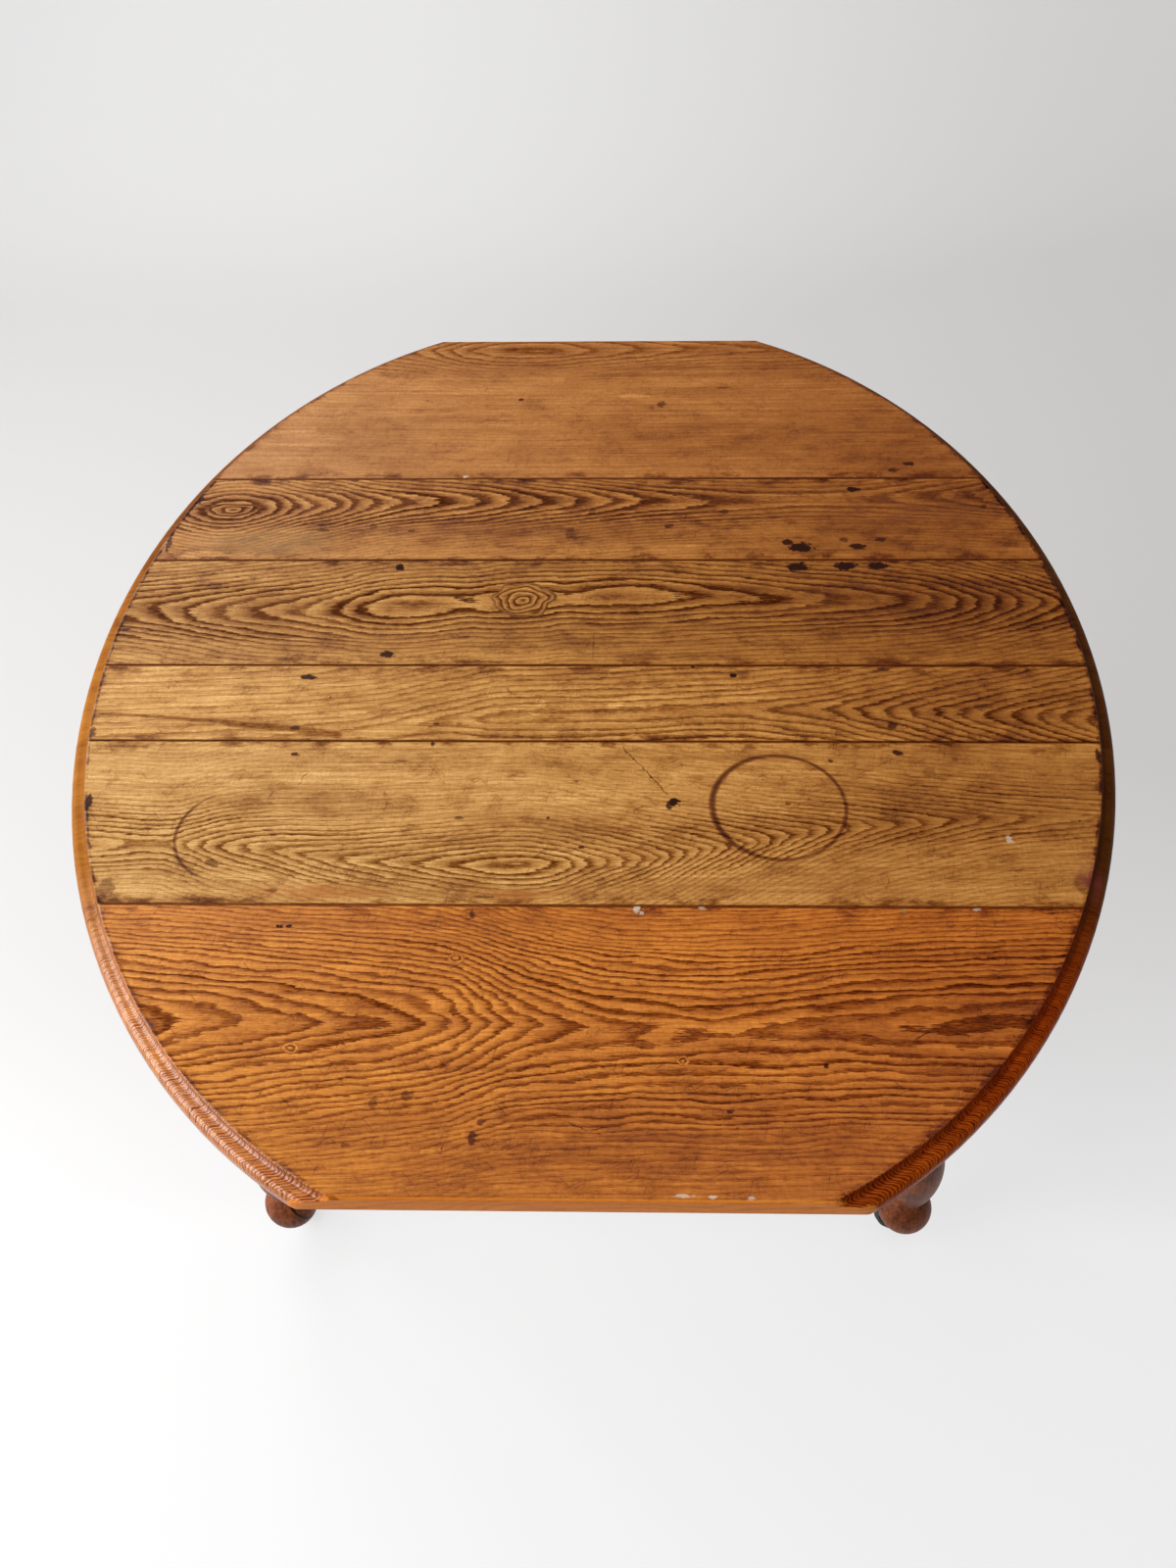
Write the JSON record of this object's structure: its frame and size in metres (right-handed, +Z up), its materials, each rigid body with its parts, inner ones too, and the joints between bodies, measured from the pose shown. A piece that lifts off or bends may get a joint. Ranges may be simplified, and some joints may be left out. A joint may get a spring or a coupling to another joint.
{
  "type": "drop-leaf dining table",
  "caption": "Drop-leaf dining table with an oval top cut straight at the ends, hinged leaves on rule joints, pull-out leaf slides and turned legs on swivel casters.",
  "frame": {"origin": "on the floor, under the middle of the top", "axes": "+X along the boards, +Y towards the far leaf, +Z up; the near leaf is at -Y"},
  "size_m": [0.974, 1.086, 0.745],
  "materials": {
    "top_wood": "worn varnish over strong open grain",
    "leg_wood": "dark brown gloss varnish",
    "apron_wood": "dark brown varnish",
    "inner_wood": "bare aged wood",
    "hinge_iron": "dull dark iron",
    "screw_steel": "dull aged steel",
    "caster_iron": "black iron",
    "wheel_black": "black, worn"
  },
  "bodies": {
    "frame": {"apron_far": "apron_wood", "apron_left": "apron_wood", "apron_near": "apron_wood", "apron_right": "apron_wood", "board_dowels": "inner_wood", "button_screws": "screw_steel", "caster_sleeves": "caster_iron", "corner_block_far_left": "inner_wood", "corner_block_far_right": "inner_wood", "corner_block_near_left": "inner_wood", "corner_block_near_right": "inner_wood", "corner_block_screws": "screw_steel", "hinge_fixed_flap_far_left": "hinge_iron", "hinge_fixed_flap_far_right": "hinge_iron", "hinge_fixed_flap_near_left": "hinge_iron", "hinge_fixed_flap_near_right": "hinge_iron", "hinge_pins": "hinge_iron", "hinge_screws_middle": "screw_steel", "keeper_screws": "screw_steel", "leg_far_left": "leg_wood", "leg_far_right": "leg_wood", "leg_near_left": "leg_wood", "leg_near_right": "leg_wood", "slide_keepers": "inner_wood", "tenon_pegs": "inner_wood", "top_board_1": "top_wood", "top_board_2": "top_wood", "top_board_3": "top_wood", "top_board_4": "top_wood", "top_buttons": "inner_wood"},
    "leaf_near": {"leaf_near": "top_wood", "hinge_leaf_flap_near_left": "hinge_iron", "hinge_leaf_flap_near_right": "hinge_iron", "hinge_screws_leaf_near": "screw_steel"},
    "leaf_far": {"leaf_far": "top_wood", "hinge_leaf_flap_far_left": "hinge_iron", "hinge_leaf_flap_far_right": "hinge_iron", "hinge_screws_leaf_far": "screw_steel"},
    "slide_near_left": {"slide_near_left": "inner_wood", "slide_stop_near_left": "inner_wood"},
    "slide_near_right": {"slide_near_right": "inner_wood", "slide_stop_near_right": "inner_wood"},
    "slide_far_left": {"slide_far_left": "inner_wood", "slide_stop_far_left": "inner_wood"},
    "slide_far_right": {"slide_far_right": "inner_wood", "slide_stop_far_right": "inner_wood"},
    "caster_near_left": {"caster_fork_near_left": "caster_iron", "caster_axle_near_left": "caster_iron"},
    "wheel_near_left": {"caster_wheel_near_left": "wheel_black"},
    "caster_near_right": {"caster_fork_near_right": "caster_iron", "caster_axle_near_right": "caster_iron"},
    "wheel_near_right": {"caster_wheel_near_right": "wheel_black"},
    "caster_far_left": {"caster_fork_far_left": "caster_iron", "caster_axle_far_left": "caster_iron"},
    "wheel_far_left": {"caster_wheel_far_left": "wheel_black"},
    "caster_far_right": {"caster_fork_far_right": "caster_iron", "caster_axle_far_right": "caster_iron"},
    "wheel_far_right": {"caster_wheel_far_right": "wheel_black"}
  },
  "joints": [
    {"name": "leaf_near_drop", "type": "hinge", "parent": "frame", "child": "leaf_near", "pos_m": [0, -0.282, 0.724], "axis": [-1, 0, 0], "range_deg": [-90, 0]},
    {"name": "leaf_far_drop", "type": "hinge", "parent": "frame", "child": "leaf_far", "pos_m": [0, 0.282, 0.724], "axis": [1, 0, 0], "range_deg": [-90, 0]},
    {"name": "slide_near_left_pull", "type": "slide", "parent": "frame", "child": "slide_near_left", "axis": [0, -1, 0], "range_m": [0, 0.185]},
    {"name": "slide_near_right_pull", "type": "slide", "parent": "frame", "child": "slide_near_right", "axis": [0, -1, 0], "range_m": [0, 0.185]},
    {"name": "slide_far_left_pull", "type": "slide", "parent": "frame", "child": "slide_far_left", "axis": [0, 1, 0], "range_m": [0, 0.185]},
    {"name": "slide_far_right_pull", "type": "slide", "parent": "frame", "child": "slide_far_right", "axis": [0, 1, 0], "range_m": [0, 0.185]},
    {"name": "caster_near_left_swivel", "type": "hinge", "parent": "frame", "child": "caster_near_left", "pos_m": [-0.37, -0.245, 0.05], "axis": [0, 0, 1], "continuous": true},
    {"name": "wheel_near_left_roll", "type": "hinge", "parent": "caster_near_left", "child": "wheel_near_left", "pos_m": [-0.36419, -0.22903, 0.015], "axis": [-0.9397, 0.342, 0], "continuous": true},
    {"name": "caster_near_right_swivel", "type": "hinge", "parent": "frame", "child": "caster_near_right", "pos_m": [0.37, -0.245, 0.05], "axis": [0, 0, 1], "continuous": true},
    {"name": "wheel_near_right_roll", "type": "hinge", "parent": "caster_near_right", "child": "wheel_near_right", "pos_m": [0.35698, -0.23407, 0.015], "axis": [-0.6428, -0.766, 0], "continuous": true},
    {"name": "caster_far_left_swivel", "type": "hinge", "parent": "frame", "child": "caster_far_left", "pos_m": [-0.37, 0.245, 0.05], "axis": [0, 0, 1], "continuous": true},
    {"name": "wheel_far_left_roll", "type": "hinge", "parent": "caster_far_left", "child": "wheel_far_left", "pos_m": [-0.35607, 0.25475, 0.015], "axis": [-0.5736, 0.8192, 0], "continuous": true},
    {"name": "caster_far_right_swivel", "type": "hinge", "parent": "frame", "child": "caster_far_right", "pos_m": [0.37, 0.245, 0.05], "axis": [0, 0, 1], "continuous": true},
    {"name": "wheel_far_right_roll", "type": "hinge", "parent": "caster_far_right", "child": "wheel_far_right", "pos_m": [0.3615, 0.25972, 0.015], "axis": [-0.866, -0.5, 0], "continuous": true}
  ]
}
